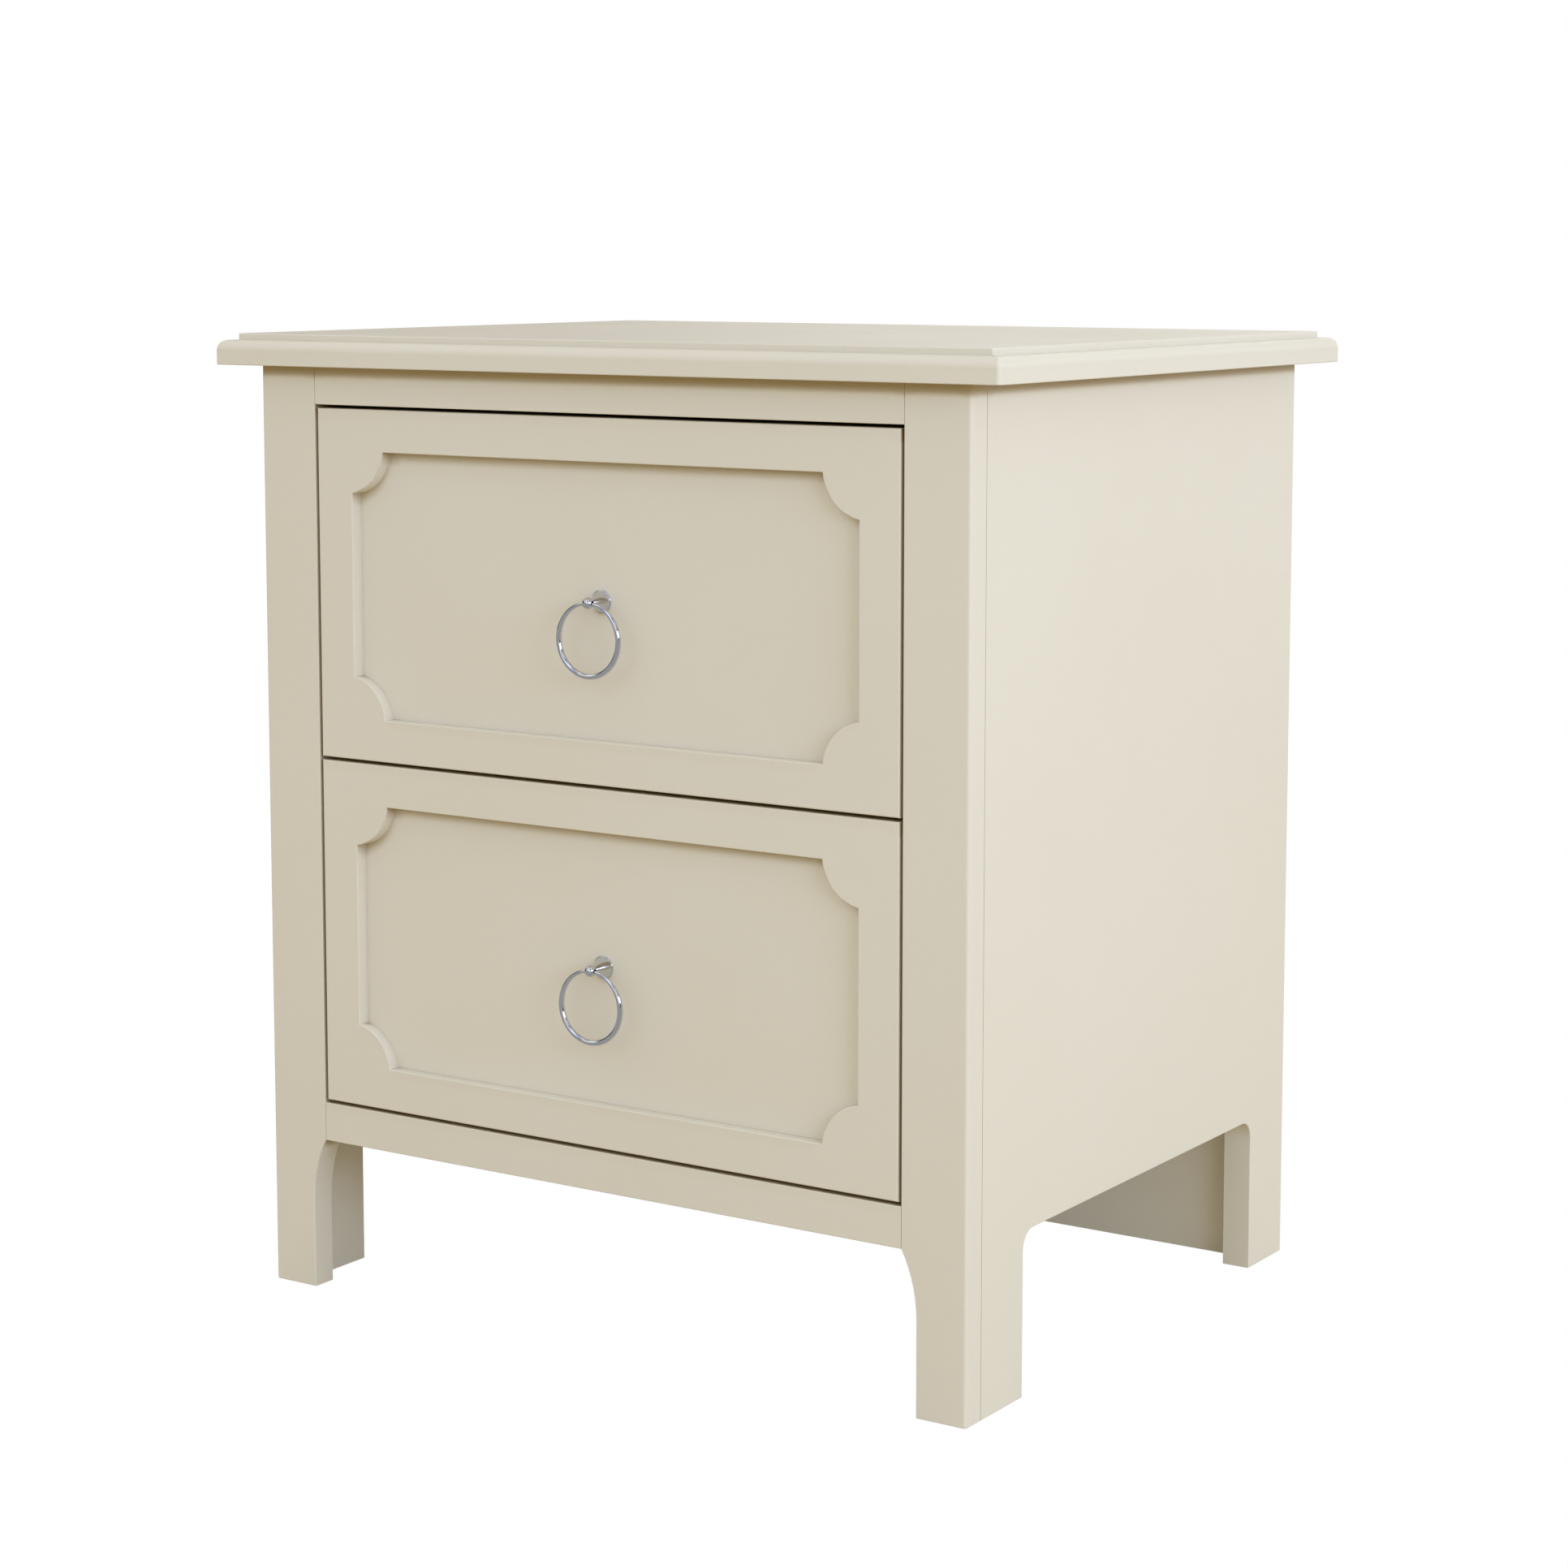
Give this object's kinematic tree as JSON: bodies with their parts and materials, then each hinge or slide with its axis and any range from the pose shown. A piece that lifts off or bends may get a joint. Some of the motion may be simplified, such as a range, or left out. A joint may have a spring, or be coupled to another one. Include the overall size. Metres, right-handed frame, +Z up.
{
  "type": "nightstand",
  "caption": "Painted nightstand with a moulded top, a front frame on shaped feet, flush drawers with notched sunk fields, ring pulls and ball bearing slides.",
  "frame": {"origin": "on the floor, under the middle of the top board", "axes": "+X to the right and +Y to the back as seen from in front, +Z up"},
  "size_m": [0.55, 0.425, 0.5905],
  "materials": {
    "cream_paint": "satin cream paint over smooth board",
    "drawer_board": "pale lacquered wood",
    "bare_wood": "unfinished pine or beech",
    "slide_steel": "zinc-plated rolled steel",
    "zinc_steel": "zinc-plated screws",
    "cast_zinc": "die-cast zinc alloy",
    "polished_chrome": "polished chrome plate"
  },
  "bodies": {
    "cabinet": {"top_board": "cream_paint", "top_screws": "zinc_steel", "left_front_stile": "cream_paint", "right_front_stile": "cream_paint", "top_rail": "cream_paint", "bottom_rail": "cream_paint", "dowels": "bare_wood", "left_side_panel": "cream_paint", "right_side_panel": "cream_paint", "bottom_panel": "cream_paint", "front_stretcher": "bare_wood", "rear_stretcher": "bare_wood", "cam_housings": "cast_zinc", "cam_bolts": "cast_zinc", "back_panel": "cream_paint", "back_screws": "zinc_steel", "spacer_screws": "zinc_steel", "cabinet_channel_screws": "zinc_steel", "lower_left_slide_spacer": "bare_wood", "lower_left_cabinet_channel": "slide_steel", "lower_right_slide_spacer": "bare_wood", "lower_right_cabinet_channel": "slide_steel", "upper_left_slide_spacer": "bare_wood", "upper_left_cabinet_channel": "slide_steel", "upper_right_slide_spacer": "bare_wood", "upper_right_cabinet_channel": "slide_steel"},
    "lower_drawer": {"lower_drawer_front": "cream_paint", "lower_drawer_inner_front": "drawer_board", "lower_drawer_left_side": "drawer_board", "lower_drawer_right_side": "drawer_board", "lower_drawer_back": "drawer_board", "lower_drawer_bottom_sheet": "drawer_board", "lower_left_drawer_channel": "slide_steel", "lower_right_drawer_channel": "slide_steel", "lower_front_screws": "zinc_steel", "lower_drawer_channel_screws": "zinc_steel", "lower_pull_screw": "zinc_steel", "lower_pull_post": "polished_chrome"},
    "lower_ring": {"lower_pull_ring": "polished_chrome"},
    "lower_middle_slides": {"lower_left_middle_channel": "slide_steel", "lower_right_middle_channel": "slide_steel"},
    "lower_outer_cages": {"lower_outer_ball_cages": "slide_steel"},
    "lower_inner_cages": {"lower_inner_ball_cages": "slide_steel"},
    "upper_drawer": {"upper_drawer_front": "cream_paint", "upper_drawer_inner_front": "drawer_board", "upper_drawer_left_side": "drawer_board", "upper_drawer_right_side": "drawer_board", "upper_drawer_back": "drawer_board", "upper_drawer_bottom_sheet": "drawer_board", "upper_left_drawer_channel": "slide_steel", "upper_right_drawer_channel": "slide_steel", "upper_front_screws": "zinc_steel", "upper_drawer_channel_screws": "zinc_steel", "upper_pull_screw": "zinc_steel", "upper_pull_post": "polished_chrome"},
    "upper_ring": {"upper_pull_ring": "polished_chrome"},
    "upper_middle_slides": {"upper_left_middle_channel": "slide_steel", "upper_right_middle_channel": "slide_steel"},
    "upper_outer_cages": {"upper_outer_ball_cages": "slide_steel"},
    "upper_inner_cages": {"upper_inner_ball_cages": "slide_steel"}
  },
  "joints": [
    {"name": "lower_drawer_slide", "type": "slide", "parent": "cabinet", "child": "lower_drawer", "axis": [0, -1, 0], "range_m": [0, 0.25]},
    {"name": "lower_middle_slide", "type": "slide", "parent": "cabinet", "child": "lower_middle_slides", "axis": [0, -1, 0], "range_m": [0, 0.125]},
    {"name": "lower_outer_cage_slide", "type": "slide", "parent": "cabinet", "child": "lower_outer_cages", "axis": [0, -1, 0], "range_m": [0, 0.0625]},
    {"name": "lower_inner_cage_slide", "type": "slide", "parent": "cabinet", "child": "lower_inner_cages", "axis": [0, -1, 0], "range_m": [0, 0.1875]},
    {"name": "lower_ring_swing", "type": "hinge", "parent": "lower_drawer", "child": "lower_ring", "pos_m": [0, -0.2035, 0.2265], "axis": [-1, 0, 0], "range_deg": [-14, 194]},
    {"name": "upper_drawer_slide", "type": "slide", "parent": "cabinet", "child": "upper_drawer", "axis": [0, -1, 0], "range_m": [0, 0.25]},
    {"name": "upper_middle_slide", "type": "slide", "parent": "cabinet", "child": "upper_middle_slides", "axis": [0, -1, 0], "range_m": [0, 0.125]},
    {"name": "upper_outer_cage_slide", "type": "slide", "parent": "cabinet", "child": "upper_outer_cages", "axis": [0, -1, 0], "range_m": [0, 0.0625]},
    {"name": "upper_inner_cage_slide", "type": "slide", "parent": "cabinet", "child": "upper_inner_cages", "axis": [0, -1, 0], "range_m": [0, 0.1875]},
    {"name": "upper_ring_swing", "type": "hinge", "parent": "upper_drawer", "child": "upper_ring", "pos_m": [0, -0.2035, 0.4405], "axis": [-1, 0, 0], "range_deg": [-14, 194]}
  ],
  "couplings": [
    {"joint": "lower_middle_slide", "follows": "lower_drawer_slide", "ratio": 0.5},
    {"joint": "lower_outer_cage_slide", "follows": "lower_drawer_slide", "ratio": 0.25},
    {"joint": "lower_inner_cage_slide", "follows": "lower_drawer_slide", "ratio": 0.75},
    {"joint": "upper_middle_slide", "follows": "upper_drawer_slide", "ratio": 0.5},
    {"joint": "upper_outer_cage_slide", "follows": "upper_drawer_slide", "ratio": 0.25},
    {"joint": "upper_inner_cage_slide", "follows": "upper_drawer_slide", "ratio": 0.75}
  ]
}
